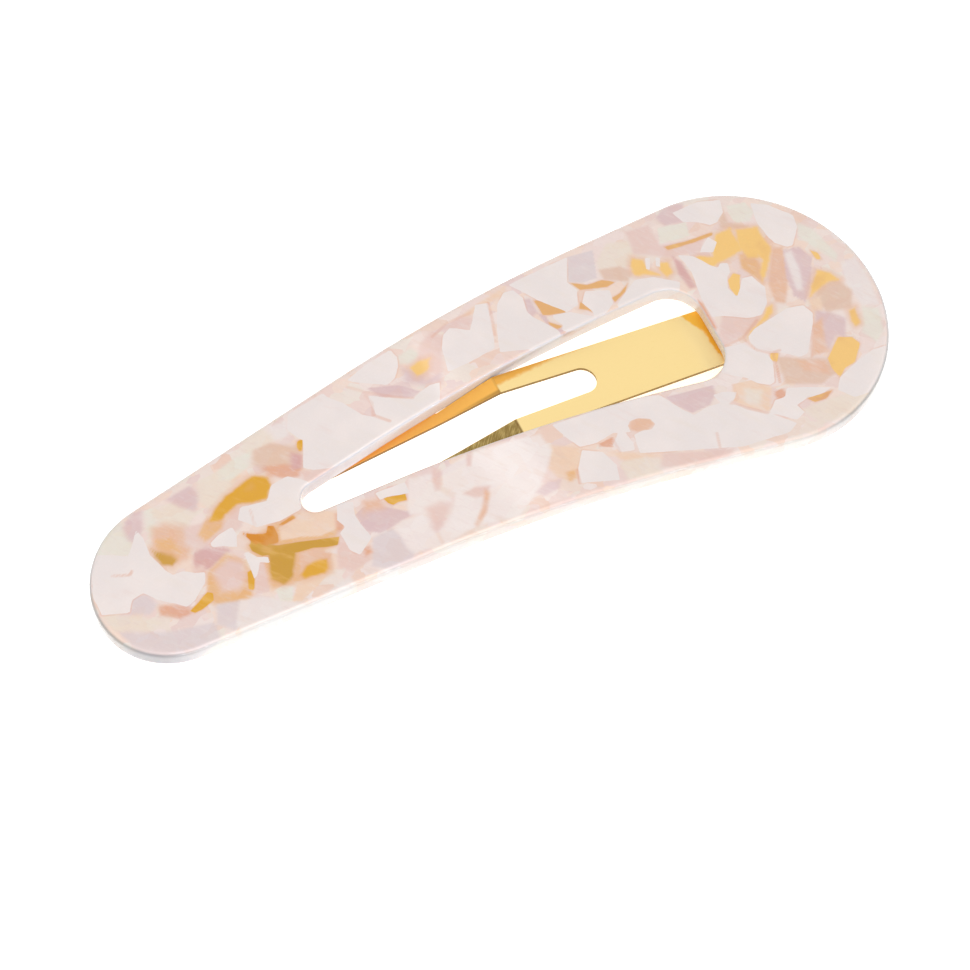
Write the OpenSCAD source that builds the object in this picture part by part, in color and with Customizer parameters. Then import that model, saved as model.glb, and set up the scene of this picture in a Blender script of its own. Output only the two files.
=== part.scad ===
// Snap hair clip: a marbled plate on a one-piece spring steel clip.
// X runs along the clip, wide end at +X. Y runs across it. Z is up.
// The clip lies on its back: the two ends of its steel frame touch z = 0.

/* [Cover] */
// Length of the cover plate, tip to tip
cover_l = 80; // [70:1:95]
// Radius of the wide end
wide_r = 13.8; // [12:0.1:17]
// Radius of the narrow end
narrow_r = 7.8; // [7:0.1:10]
// Thickness of the cover plate
cover_t = 1.9; // [1.6:0.1:3]
// Height of the two arms' theoretical corner above the tips
crown_h = 7; // [4:0.1:9]
// Radius of the bend between the two straight arms, at the underside
arch_r = 75; // [40:5:100]
// Distance of the bend from mid length, towards the wide end
bend_x = 2; // [-4:0.5:6]

/* [Slot in the cover] */
// Plate left between the slot and the narrow tip
slot_narrow_margin = 21; // [18:0.1:24]
// Plate left between the slot and the wide tip
slot_wide_margin = 16.9; // [14:0.1:20]
// Radius of the slot's narrow end
slot_narrow_r = 1.45; // [1.2:0.05:2.2]
// Half width of the slot at its wide end
slot_half_w = 5.15; // [4.6:0.05:6.4]
// Corner radius at the slot's wide end
slot_corner_r = 3.2; // [2:0.1:4.2]
// Sideways offset of the slot and all the steel from the cover's middle
axis_shift = 0.35; // [-0.6:0.05:0.6]

/* [Steel frame] */
// Thickness of the spring steel sheet
steel_t = 0.4; // [0.3:0.05:0.6]
// Glue line between the cover and the frame
glue_gap = 0.05; // [0.02:0.01:0.1]
// Distance of the frame's edge inside the cover's edge
frame_inset = 2.2; // [1.5:0.1:3]
// Solid root left at the narrow end of the frame
root_l = 11.6; // [8:0.2:14]
// Solid steel left at the wide end of the frame
lap_l = 11.3; // [9:0.1:13]
// Width of each arm where it leaves the root
arm_narrow_w = 2.1; // [1.6:0.1:3]
// Width of each arm beside the frame's wide end
arm_wide_w = 4.6; // [3:0.1:5.5]
// Corner radius of the frame's window at the root
window_corner_r = 0.8; // [0.4:0.1:1.5]

/* [Lap and rivet] */
// Radius of the lapped arm end under the rivet
lap_r = 2.5; // [2:0.1:3]
// Distance of the rivet from the frame's wide tip
rivet_inset = 6.7; // [5:0.1:8]
// Length of the lapped arm end, from the rivet to where it joins the near arm
lap_reach = 4.5; // [3:0.1:5]
// Radius of the rivet's shank
rivet_r = 0.8; // [0.5:0.05:1.2]
// Radius of the rivet's head
rivet_head_r = 1.5; // [1.3:0.05:2]
// Height of the rivet's domed head
rivet_head_h = 0.45; // [0.3:0.05:0.6]
// Clearance round the rivet's shank and over its head
rivet_gap = 0.03; // [0.02:0.01:0.06]

/* [Tongue] */
// Half width of the tongue at its root
tongue_root_w = 3.3; // [3:0.1:3.9]
// Half width of the tongue at its free end
tongue_tip_w = 3; // [2.4:0.1:3.6]
// Corner radius of the tongue's free end
tongue_corner_r = 1.8; // [0.8:0.1:2.2]
// Length of the tongue's free end that passes under the frame
tongue_overlap = 1.6; // [1:0.1:2]
// Gap between the root's edge and the tongue, where the strip flexes
hinge_gap = 0.12; // [0.08:0.01:0.2]
// Gap between the frame and the tongue's free end when snapped shut
shut_gap = 0.1; // [0.06:0.02:0.2]
// Height of the crease's top over the cover's underside at the bend
crease_rise = 0.95; // [0.5:0.05:1.2]
// Length of the legs that stand inside the cover's slot, up to the crease
neck_l = 6; // [4:0.5:8]
// Gap between those lengths and the cover, beside them and where they enter the slot
neck_gap = 0.06; // [0.04:0.01:0.12]
// Half width of the tongue's slot at its free-end side
fork_paddle_r = 1.35; // [1:0.05:1.6]
// Half width of the tongue's slot at its root side
fork_root_r = 2.15; // [1.5:0.05:2.3]
// Length of the paddle beyond the tongue's slot
paddle_l = 17.1; // [14:0.1:20]
// Solid strip between the tongue's slot and its root edge
fork_root_margin = 1.8; // [1.2:0.1:3]

/* [Hidden] */
$fn = 96;

// Half the cover's length, and the arms' slopes on each side of the bend
half_l = cover_l / 2;
slope_n = atan(crown_h / (half_l + bend_x));
slope_w = atan(crown_h / (half_l - bend_x));
mean_slope = (slope_n + slope_w) / 2;
// Height of the cover's tips: the frame's narrow end just touches z = 0
tips_z = max(0, (glue_gap + steel_t) / cos(slope_n) - frame_inset * tan(slope_n));
// Centre of the bend: on the bisector below the corner of the underside's two lines
bend_dir = -90 + (slope_n - slope_w) / 2;
bend_reach = arch_r / cos(mean_slope);
bend_c = [
    bend_x + bend_reach * cos(bend_dir),
    tips_z + crown_h + bend_reach * sin(bend_dir)
];
// Where the bend starts on the narrow arm, and ends on the wide arm
bend_x0 = bend_c[0] - arch_r * sin(slope_n);
bend_x1 = bend_c[0] + arch_r * sin(slope_w);
// Far enough past the cover on every side
reach = 2 * cover_l + 2 * arch_r;
// Depth by which a straight side cuts the arc that it meets, so that they share one clean edge
seam = 0.004;

// Height of the cover's underside: along its straight arms, anywhere, and at the bend's crest
function arm_z(x) =
    tips_z + (x < bend_x ? (x + half_l) * tan(slope_n) : (half_l - x) * tan(slope_w));
function underside_z(x) =
    x < bend_x0 || x > bend_x1
        ? arm_z(x)
        : bend_c[1] + sqrt(arch_r * arch_r - (x - bend_c[0]) * (x - bend_c[0]));
crest_z = bend_c[1] + arch_r;

// Steel levels, measured square to the sheet from the cover's underside
steel_top = -glue_gap;
steel_low = -glue_gap - steel_t;

// Frame: the cover's own outline, moved in by frame_inset
frame_wide_r = wide_r - frame_inset;
frame_narrow_r = narrow_r - frame_inset;
frame_tip = half_l - frame_inset;
root_x = -frame_tip + root_l;
window_x = frame_tip - lap_l;
// Half width of the teardrop inside the steel's edge, at a place along the clip
wide_c = half_l - wide_r;
narrow_c = -half_l + narrow_r;
taper = asin((wide_r - narrow_r) / (wide_c - narrow_c));
function side_half_w(x, inset) =
    (narrow_r - inset) / cos(taper) + (x - narrow_c) * tan(taper);
window_root_w = side_half_w(root_x, frame_inset) - arm_narrow_w;
window_wide_r = frame_wide_r - arm_wide_w;

// Lap and rivet on the wide arm
rivet_x = frame_tip - rivet_inset;
lap_bite = steel_t / 2;

// Slot: centres of its narrow end and of its wide corners, and the lean of its straight sides
slot_narrow_x = -half_l + slot_narrow_margin + slot_narrow_r;
slot_wide_x = half_l - slot_wide_margin;
slot_corner = [slot_wide_x - slot_corner_r, slot_half_w - slot_corner_r];
slot_run = [slot_corner[0] - slot_narrow_x, slot_corner[1]];
slot_lean = atan2(slot_run[1], slot_run[0]) + asin((slot_corner_r - slot_narrow_r) / norm(slot_run));
function slot_side(x) = slot_narrow_r / cos(slot_lean) + (x - slot_narrow_x) * tan(slot_lean);

// Tongue, seen from the side: root edge, knee, crease and free end, at its upper face
tongue_x0 = root_x + hinge_gap;
tongue_x1 = window_x + tongue_overlap;
tongue_root_z = arm_z(tongue_x0) + steel_top / cos(slope_n);
knee_x = bend_x - neck_l;
knee_z = underside_z(knee_x) - neck_gap;
crease_z = crest_z + crease_rise;
tongue_tip_z = arm_z(tongue_x1) + (steel_low - shut_gap) / cos(slope_w);
leg_slope = atan((knee_z - tongue_root_z) / (knee_x - tongue_x0));
neck_slope = atan((crease_z - knee_z) / neck_l);
paddle_slope = atan((crease_z - tongue_tip_z) / (tongue_x1 - bend_x));
// Tongue, seen from above: half widths of the necks, and the slot between the legs
knee_w = slot_side(knee_x) - neck_gap;
crease_w = slot_side(bend_x) - neck_gap;
fork_x0 = tongue_x0 + fork_root_margin + fork_root_r;
fork_x1 = tongue_x1 - paddle_l - fork_paddle_r;

// Tangent point on one disc of the common tangent to the next, both as [x, y, radius]
function tangent_angle(a, b) =
    atan2(b[1] - a[1], b[0] - a[0]) - acos((a[2] - b[2]) / norm([b[0] - a[0], b[1] - a[1]]));
function at_disc(d, angle) = [d[0] + (d[2] - seam) * cos(angle), d[1] + (d[2] - seam) * sin(angle)];

// Smallest convex outline round a ring of discs, counter-clockwise, with true arcs
module round_outline(discs) {
    n = len(discs);
    polygon([
        for (i = [0 : n - 1])
            let (a = discs[i], b = discs[(i + 1) % n], angle = tangent_angle(a, b))
            each [at_disc(a, angle), at_disc(b, angle)]
    ]);
    for (d = discs)
        translate([d[0], d[1]]) circle(d[2]);
}

// Teardrop of the cover, moved in by a distance
module teardrop(inset = 0) {
    round_outline([
        [narrow_c, 0, narrow_r - inset],
        [wide_c, 0, wide_r - inset]
    ]);
}

// Slot of the cover: a round narrow end and a wide end with rounded corners
module cover_slot() {
    round_outline([
        [slot_narrow_x, 0, slot_narrow_r],
        [slot_corner[0], -slot_corner[1], slot_corner_r],
        [slot_corner[0], slot_corner[1], slot_corner_r]
    ]);
}

// Everything below the arched sheet at a level over the cover's underside, seen from the side
module below_arch(level) {
    radius = arch_r + level;
    left = bend_c + radius * [cos(90 + slope_n), sin(90 + slope_n)];
    right = bend_c + radius * [cos(90 - slope_w), sin(90 - slope_w)];
    polygon([
        [-reach, -reach],
        [reach, -reach],
        [reach, right[1] - (reach - right[0]) * tan(slope_w)],
        right,
        left,
        [-reach, left[1] - (reach + left[0]) * tan(slope_n)]
    ]);
    translate(bend_c) circle(radius + seam, $fn = 360);
}

// A side view pushed across the clip
module across() {
    rotate([90, 0, 0]) linear_extrude(height = 4 * wide_r, center = true) children();
}

// A plan pushed up through the clip
module upright() {
    linear_extrude(height = 4 * (crown_h + cover_t), center = true) children();
}

// Arched sheet between two levels, cut to a plan outline
module arched_sheet(low, high) {
    intersection() {
        across() difference() {
            below_arch(high);
            below_arch(low);
        }
        upright() children();
    }
}

// On the wide arm's underside, tilted with it
module on_wide_arm(x) {
    translate([x, axis_shift, arm_z(x)]) rotate([0, slope_w, 0]) children();
}

module cover() {
    color([0.94, 0.86, 0.84])
    arched_sheet(0, cover_t) difference() {
        teardrop();
        translate([0, axis_shift]) cover_slot();
    }
}

// Window of the frame: a straight root edge with rounded corners, and a round wide end
module frame_window() {
    round_outline([
        [root_x + window_corner_r, -(window_root_w - window_corner_r), window_corner_r],
        [window_x - window_wide_r, 0, window_wide_r],
        [root_x + window_corner_r, window_root_w - window_corner_r, window_corner_r]
    ]);
}

module frame() {
    color([0.93, 0.72, 0.32])
    difference() {
        union() {
            arched_sheet(steel_low, steel_top) translate([0, axis_shift]) difference() {
                teardrop(frame_inset);
                frame_window();
            }
            // Lapped end of the near arm, under the far arm's end
            on_wide_arm(rivet_x) translate([0, 0, steel_low - steel_t])
                linear_extrude(height = steel_t + lap_bite)
                    round_outline([[0, 0, lap_r], [0, -lap_reach, lap_r]]);
        }
        on_wide_arm(rivet_x) cylinder(r = rivet_r + rivet_gap, h = 2 * reach, center = true);
    }
}

module rivet() {
    shank_l = 2 * steel_t + rivet_gap;
    dome_r = (rivet_head_r * rivet_head_r + rivet_head_h * rivet_head_h) / (2 * rivet_head_h);
    color([0.9, 0.68, 0.3])
    on_wide_arm(rivet_x) translate([0, 0, steel_top - shank_l]) {
        cylinder(r = rivet_r, h = shank_l);
        intersection() {
            translate([0, 0, dome_r - rivet_head_h]) sphere(dome_r);
            translate([0, 0, -rivet_head_h]) cylinder(r = 2 * rivet_head_r, h = rivet_head_h);
        }
    }
}

// Strip seen from the side: legs up past the knee to the crease, paddle down to the free end
module tongue_side() {
    leg_drop = steel_t / cos(leg_slope);
    neck_drop = steel_t / cos(neck_slope);
    paddle_drop = steel_t / cos(paddle_slope);
    polygon([
        [tongue_x0, tongue_root_z],
        [tongue_x0, tongue_root_z - leg_drop],
        [knee_x, knee_z - neck_drop],
        [bend_x, crease_z - paddle_drop],
        [tongue_x1, tongue_tip_z - paddle_drop],
        [tongue_x1, tongue_tip_z],
        [bend_x, crease_z],
        [knee_x, knee_z]
    ]);
}

module tongue_plan() {
    tip_c = tongue_x1 - tongue_corner_r;
    tip_y = tongue_tip_w - tongue_corner_r;
    difference() {
        union() {
            polygon([
                [tongue_x0, -tongue_root_w],
                [knee_x, -knee_w],
                [bend_x, -crease_w],
                [tip_c, seam - tongue_tip_w],
                [tip_c, tongue_tip_w - seam],
                [bend_x, crease_w],
                [knee_x, knee_w],
                [tongue_x0, tongue_root_w]
            ]);
            round_outline([
                [tip_c, -tip_y, tongue_corner_r],
                [tip_c, tip_y, tongue_corner_r]
            ]);
        }
        round_outline([
            [fork_x0, 0, fork_root_r],
            [fork_x1, 0, fork_paddle_r]
        ]);
    }
}

module tongue() {
    color([0.96, 0.78, 0.38])
    intersection() {
        across() tongue_side();
        upright() translate([0, axis_shift]) tongue_plan();
    }
}

cover();
frame();
rivet();
tongue();
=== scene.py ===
"""Snap hair clip, dressed: a marbled acetate plate over a gold-plated spring steel clip.

Sizes in the classes are millimetres, as in the part's source. Meshes, lights and shaders are in metres.
"""
import logging
import math
from collections.abc import Iterable, Mapping, Sequence
from dataclasses import dataclass
from enum import Enum
from typing import TypeAlias

import bmesh
import bpy
import numpy as np
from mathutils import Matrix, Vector


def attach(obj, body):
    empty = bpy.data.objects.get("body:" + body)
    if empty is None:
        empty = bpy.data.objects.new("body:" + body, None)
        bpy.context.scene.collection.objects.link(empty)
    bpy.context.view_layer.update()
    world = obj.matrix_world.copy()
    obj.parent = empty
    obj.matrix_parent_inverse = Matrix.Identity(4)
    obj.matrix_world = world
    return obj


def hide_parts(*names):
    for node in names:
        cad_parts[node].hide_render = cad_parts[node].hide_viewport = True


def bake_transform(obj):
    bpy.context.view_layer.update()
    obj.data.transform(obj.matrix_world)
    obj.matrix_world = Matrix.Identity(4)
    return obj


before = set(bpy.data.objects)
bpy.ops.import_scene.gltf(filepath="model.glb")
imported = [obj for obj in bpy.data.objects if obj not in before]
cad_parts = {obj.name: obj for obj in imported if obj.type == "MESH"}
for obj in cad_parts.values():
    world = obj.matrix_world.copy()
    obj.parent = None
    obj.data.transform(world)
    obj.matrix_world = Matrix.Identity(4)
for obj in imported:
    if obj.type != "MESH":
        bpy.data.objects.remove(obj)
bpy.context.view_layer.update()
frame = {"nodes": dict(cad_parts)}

MM = 0.001
LOG = logging.getLogger("hair_clip")

# What the clear gloss and the studio add to a pigment before it shows: a veil and a gain.
GLOSS_VEIL = 0.06
STUDIO_GAIN = 1.03

Array: TypeAlias = np.ndarray
Colour: TypeAlias = tuple[int, int, int]
Paint: TypeAlias = tuple[float, float, float, float]
Disc: TypeAlias = tuple[float, float, float]
Number: TypeAlias = "Wire | float"
Coat: TypeAlias = "Wire | Tint | Gilt | Paint"


class Body(Enum):
    """The two bodies that the snap moves apart."""

    CLIP = "clip"
    TONGUE = "tongue"


class Slot(Enum):
    """Material slots of the record."""

    ACETATE = "marbled_acetate"
    GOLD = "gold_plate"


class Fade(Enum):
    """How wide the edge of a tinted patch is, in millimetres."""

    CRISP = 0.12
    SOFT = 0.45
    CLOUDY = 1.0


def linear(colour: Sequence[float]) -> tuple[float, float, float]:
    """A display colour as reflectance, by the sRGB curve.

    Args:
        colour: Red, green and blue from 0 to 255.

    Returns:
        Linear red, green and blue.
    """
    parts = [c / 255 for c in colour]
    return tuple(p / 12.92 if p <= 0.04045 else ((p + 0.055) / 1.055) ** 2.4 for p in parts)


class Tint(Enum):
    """Pigments of the acetate and the gold that shows through it, as the studio shows them. The two wall colours are
    painted shade that darkens the plate's outer walls, most at the ends.
    """

    WHITE = (238, 227, 223)
    SLOT_WALL = (203, 210, 222)
    # Painted shade for the outer walls, and heavier painted shade at both ends, where the plate comes down to the
    # floor.
    SIDE_PAINTED_SHADE = (218, 227, 230)
    END_PAINTED_SHADE = (175, 184, 188)
    GROUND = (230, 211, 204)
    PEARL = (233, 223, 220)
    MINT = (228, 223, 211)
    CREAM = (232, 218, 204)
    LILAC = (219, 205, 206)
    MAUVE = (217, 189, 190)
    PLUM = (212, 164, 162)
    ROSE = (228, 198, 190)
    SAND = (222, 190, 170)
    PEACH = (228, 183, 155)
    PALE_PEACH = (236, 205, 180)
    SALMON = (223, 166, 138)
    APRICOT = (229, 178, 122)
    HONEY = (245, 202, 130)
    AMBER = (230, 174, 76)
    OLIVE = (211, 163, 80)
    COPPER = (222, 148, 62)

    @property
    def paint(self) -> Paint:
        """Reflectance under the clear gloss."""
        return (*(max(0.0, part - GLOSS_VEIL) / STUDIO_GAIN for part in linear(self.value)), 1.0)


class Gilt(Enum):
    """Colours of the gold plating, as display colours; several are painted reflection, shade and light on the
    tongue.
    """

    BRIGHT = (250, 222, 156)
    DEEP = (238, 172, 76)
    DRAWN = (190, 140, 70)
    PADDLE_LINE = (232, 190, 110)
    UNDERSIDE_REFLECTION = (240, 178, 84)
    PADDLE_END_PAINTED_LIGHT = (254, 230, 166)
    END_SHADOW_AND_REFLECTION = (248, 184, 34)
    LEG_REFLECTION = (246, 184, 84)
    LEG_ROOT_REFLECTION = (246, 176, 82)
    SCORED_SHADE = (206, 180, 112)
    SCORED_DEEP_SHADE = (148, 122, 64)
    CREASE_SHADE = (130, 98, 46)
    INNER_EDGE_SHADE = (140, 106, 44)
    EDGE_SHADE = (112, 86, 38)
    PIT = (92, 70, 30)

    @property
    def paint(self) -> Paint:
        """Reflectance."""
        return (*linear(self.value), 1.0)


class Wire:
    """One socket of a node. Arithmetic on it adds Math nodes."""

    def __init__(self, bench: "Bench", socket: bpy.types.NodeSocket) -> None:
        """Keeps the socket.

        Args:
            bench: The node tree that the socket belongs to.
            socket: The output that is wrapped.
        """
        self.bench = bench
        self.socket = socket

    def _math(self, operation: str, first: Number, second: Number = 0.0) -> "Wire":
        """Adds one Math node.

        Args:
            operation: The node's operation.
            first: First operand.
            second: Second operand.

        Returns:
            The result's socket.
        """
        return self.bench.node("ShaderNodeMath", {"operation": operation}, {0: first, 1: second})

    def __add__(self, other: Number) -> "Wire":
        """Sum."""
        return self._math("ADD", self, other)

    __radd__ = __add__

    def __sub__(self, other: Number) -> "Wire":
        """Difference."""
        return self._math("SUBTRACT", self, other)

    def __rsub__(self, other: Number) -> "Wire":
        """Difference from a number."""
        return self._math("SUBTRACT", other, self)

    def __mul__(self, other: Number) -> "Wire":
        """Product."""
        return self._math("MULTIPLY", self, other)

    __rmul__ = __mul__

    def __truediv__(self, other: Number) -> "Wire":
        """Quotient."""
        return self._math("DIVIDE", self, other)

    def __abs__(self) -> "Wire":
        """Absolute value."""
        return self._math("ABSOLUTE", self)

    def highest(self, other: Number) -> "Wire":
        """The larger of the two."""
        return self._math("MAXIMUM", self, other)

    def step(self, low: float, high: float) -> "Wire":
        """Smooth step.

        Args:
            low: Value where the result is 0.
            high: Value where the result is 1; it may be below low.

        Returns:
            The share between the two, eased at both ends.
        """
        flip = low > high
        ends = (high, low) if flip else (low, high)
        made = self.bench.node(
            "ShaderNodeMapRange",
            {"interpolation_type": "SMOOTHSTEP"},
            {"Value": self, "From Min": ends[0], "From Max": ends[1]},
        )
        return 1.0 - made if flip else made


class Bench:
    """The node tree of one finish, with one method that adds nodes."""

    # The Mix node's sockets for colours.
    MIX_UNDER, MIX_OVER, MIX_RESULT = 6, 7, 2

    def __init__(self, name: str) -> None:
        """Makes an empty material.

        Args:
            name: The material's name.
        """
        self.material = bpy.data.materials.new(name)
        self.material.use_nodes = True
        self.tree = self.material.node_tree
        self.tree.nodes.clear()

    def node(
        self,
        kind: str,
        settings: Mapping[str, object] | None = None,
        inputs: Mapping[str | int, object] | None = None,
        out: str | int = 0,
    ) -> Wire:
        """Adds a node.

        Args:
            kind: The node's type.
            settings: Its own settings; "stops" gives a ramp's (place, colour) pairs.
            inputs: Values or wires for its sockets, by name or index.
            out: The output that is returned.

        Returns:
            The wrapped output.
        """
        made = self.tree.nodes.new(kind)
        for key, value in (settings or {}).items():
            if key == "stops":
                self._fill_ramp(made.color_ramp, value)
            else:
                setattr(made, key, value)
        for key, value in (inputs or {}).items():
            if isinstance(value, Wire):
                self.tree.links.new(value.socket, made.inputs[key])
            else:
                made.inputs[key].default_value = value
        return Wire(self, made.outputs[out]) if len(made.outputs) else Wire(self, None)

    def _fill_ramp(self, ramp: bpy.types.ColorRamp, stops: Iterable[tuple[float, Colour]]) -> None:
        """Sets a ramp's stops.

        Args:
            ramp: The ramp.
            stops: Places from 0 to 1 with display colours.
        """
        stops = list(stops)
        while len(ramp.elements) < len(stops):
            ramp.elements.new(1.0)
        for element, (place, colour) in zip(ramp.elements, stops):
            element.position = place
            element.color = (*linear(colour), 1.0)

    def place(self) -> Wire:
        """The point on the piece, in its own metres."""
        return self.node("ShaderNodeTexCoord", out="Object")

    def facing(self) -> Wire:
        """How far the surface faces up: 1 on top, 0 on a wall and -1 below."""
        return self.axes(self.node("ShaderNodeTexCoord", out="Normal"))[2]

    def turned(self, point: Wire, angle: float) -> Wire:
        """A point turned about the upright axis, by radians."""
        return self.node("ShaderNodeVectorRotate", {"rotation_type": "Z_AXIS"}, {"Vector": point, "Angle": angle})

    def stretched(self, point: Wire, factors: tuple[float, float, float]) -> Wire:
        """A point with its axes scaled.

        Args:
            point: The point.
            factors: One factor for each axis.

        Returns:
            The scaled point.
        """
        return self.node("ShaderNodeVectorMath", {"operation": "MULTIPLY"}, {0: point, 1: factors})

    def axes(self, point: Wire) -> tuple[Wire, Wire, Wire]:
        """The three coordinates of a point."""
        split = self.node("ShaderNodeSeparateXYZ", None, {0: point}).socket.node
        return tuple(Wire(self, output) for output in split.outputs)

    def noise(self, point: Wire, scale: float, detail: float = 2.0, rough: float = 0.5) -> Wire:
        """Noise about 0, mostly within half a unit.

        Args:
            point: Where it is read.
            scale: Cells in a metre of that point.
            detail: Octaves.
            rough: Share of each finer octave.

        Returns:
            The noise.
        """
        sockets = {"Vector": point, "Scale": scale, "Detail": detail, "Roughness": rough}
        return self.node("ShaderNodeTexNoise", None, sockets) - 0.5

    def stored(self, name: str, out: str = "Fac") -> Wire:
        """A value that the mesh carries.

        Args:
            name: The attribute's name.
            out: "Fac" for a number or "Color" for a colour.

        Returns:
            The wrapped output.
        """
        return self.node("ShaderNodeAttribute", {"attribute_name": name}, None, out)

    def bump(self, height: Wire, strength: float, depth: float) -> Wire:
        """Small relief.

        Args:
            height: The relief's height.
            strength: How strongly it shows.
            depth: What a height of 1 stands for, in metres.

        Returns:
            The normal.
        """
        return self.node("ShaderNodeBump", None, {"Strength": strength, "Distance": depth, "Height": height})

    def mix(self, share: Number, under: Coat, over: Coat, blend: str = "MIX") -> Wire:
        """Lays one colour over another.

        Args:
            share: How much of the upper colour shows.
            under: The lower colour.
            over: The upper colour.
            blend: The way that they mix.

        Returns:
            The mixed colour.
        """
        settings = {"data_type": "RGBA", "blend_type": blend, "clamp_factor": True}
        under, over = (coat.paint if isinstance(coat, Enum) else coat for coat in (under, over))
        sockets = {0: share, self.MIX_UNDER: under, self.MIX_OVER: over}
        return self.node("ShaderNodeMix", settings, sockets, self.MIX_RESULT)

    def layers(self, ground: Coat, *coats: tuple[Number, Coat]) -> Wire:
        """Lays coats over a ground, one after the other.

        Args:
            ground: The lowest colour.
            *coats: How much of each shows, and its colour.

        Returns:
            The colour of all of them.
        """
        for share, coat in coats:
            ground = self.mix(share, ground, coat)
        return ground

    def finish(self, **sockets: object) -> bpy.types.Material:
        """Ends the tree in a Principled shader.

        Args:
            **sockets: Its sockets, with an underscore for each space.

        Returns:
            The material.
        """
        named = {key.replace("_", " "): value for key, value in sockets.items()}
        shader = self.node("ShaderNodeBsdfPrincipled", None, named)
        self.node("ShaderNodeOutputMaterial", None, {"Surface": shader})
        return self.material


@dataclass(frozen=True)
class Arch:
    """Side view of the plate: two straight arms joined by one bend, cut from sheet cover_t thick."""

    half_l: float = 40.0
    crown_h: float = 7.0
    arch_r: float = 75.0
    bend_x: float = 2.0
    tips_z: float = 0.0895
    cover_t: float = 1.9

    @property
    def slopes(self) -> tuple[float, float]:
        """Slopes of the two arms.

        Returns:
            The narrow arm's and the wide arm's, in radians.
        """
        return (
            math.atan(self.crown_h / (self.half_l + self.bend_x)),
            math.atan(self.crown_h / (self.half_l - self.bend_x)),
        )

    @property
    def centre(self) -> tuple[float, float]:
        """Centre of the bend.

        Returns:
            Its x and z.
        """
        narrow, wide = self.slopes
        angle = -math.pi / 2 + (narrow - wide) / 2
        reach = self.arch_r / math.cos((narrow + wide) / 2)
        return (
            self.bend_x + reach * math.cos(angle),
            self.tips_z + self.crown_h + reach * math.sin(angle),
        )

    def height(self, x: Array, level: Array | float) -> Array:
        """Height of a sheet level.

        Args:
            x: Places along the clip.
            level: Distance over the underside, square to the sheet.

        Returns:
            The heights.
        """
        x = np.asarray(x, float)
        level = np.broadcast_to(np.asarray(level, float), x.shape)
        narrow, wide = self.slopes
        centre_x, centre_z = self.centre
        radius = self.arch_r + level
        left = self.tips_z + (x + self.half_l) * math.tan(narrow) + level / math.cos(narrow)
        right = self.tips_z + (self.half_l - x) * math.tan(wide) + level / math.cos(wide)
        bend = centre_z + np.sqrt(np.maximum(radius**2 - (x - centre_x) ** 2, 0.0))
        in_left = x < centre_x - radius * math.sin(narrow)
        in_right = x > centre_x + radius * math.sin(wide)
        return np.where(in_left, left, np.where(in_right, right, bend))


@dataclass(frozen=True)
class Lens:
    """The photograph's view: where the camera stands, and where its points fall on the plate.

    The scale is in pixels a millimetre, and the centre is the pixel over the clip's origin.
    """

    yaw: float = math.radians(26.45)
    elevation: float = math.radians(63.08)
    distance: float = 500.0
    scale: float = 10.78
    centre: tuple[float, float] = (490.39, 451.02)
    ground: float = 0.0895
    frame_px: float = 970.0
    sensor: float = 36.0
    reach_m: tuple[float, float] = (0.01, 10.0)
    first_z: float = 7.0
    tries: int = 8

    @property
    def back(self) -> Array:
        """Unit vector from the clip to the camera."""
        flat = math.cos(self.elevation)
        return np.array([-math.sin(self.yaw) * flat, -math.cos(self.yaw) * flat, math.sin(self.elevation)])

    def on_plate(self, pixels: Array, arch: Arch, level: float) -> Array:
        """Finds the points of the plate's top face under points of the photograph.

        Args:
            pixels: Points of the photograph, one a row.
            arch: The plate's side view.
            level: The top face's level.

        Returns:
            Their x and y on the clip, one a row.
        """
        across = (pixels[:, 0] - self.centre[0]) / self.scale
        up = (self.centre[1] - pixels[:, 1]) / self.scale
        right = np.array([math.cos(self.yaw), -math.sin(self.yaw), 0.0])
        rise = math.sin(self.elevation)
        above = np.array([math.sin(self.yaw) * rise, math.cos(self.yaw) * rise, math.cos(self.elevation)])
        base = np.array([0.0, 0.0, self.ground])
        eye = base + self.back * self.distance
        aim = base + across[:, None] * right + up[:, None] * above - eye
        z = np.full(len(pixels), self.first_z)
        for _ in range(self.tries):
            hit = eye + aim * ((z - eye[2]) / aim[:, 2])[:, None]
            z = arch.height(hit[:, 0], level)
        return hit[:, :2]

    def stand(self) -> bpy.types.Object:
        """Makes the camera.

        Returns:
            The camera.
        """
        data = bpy.data.cameras.new("camera")
        data.sensor_width = self.sensor
        data.lens = self.scale * self.distance * self.sensor / self.frame_px
        data.shift_x = (self.frame_px / 2 - self.centre[0]) / self.frame_px
        data.shift_y = (self.centre[1] - self.frame_px / 2) / self.frame_px
        data.clip_start, data.clip_end = self.reach_m
        camera = bpy.data.objects.new("camera", data)
        bpy.context.scene.collection.objects.link(camera)
        camera.location = Vector((0.0, 0.0, self.ground * MM)) + Vector(self.back) * self.distance * MM
        camera.rotation_euler = Vector(self.back).to_track_quat("Z", "Y").to_euler()
        bpy.context.scene.camera = camera
        return camera


@dataclass(frozen=True)
class Patch:
    """One window or cloud in the acetate: its tint, its corners in the photograph and its edge."""

    tint: Tint
    corners: str
    fade: Fade = Fade.SOFT


def points_of(corners: str) -> Array:
    """Corners written as text, as numbers, one a row."""
    return np.array([[float(n) for n in corner.split(",")] for corner in corners.split()])


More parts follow.
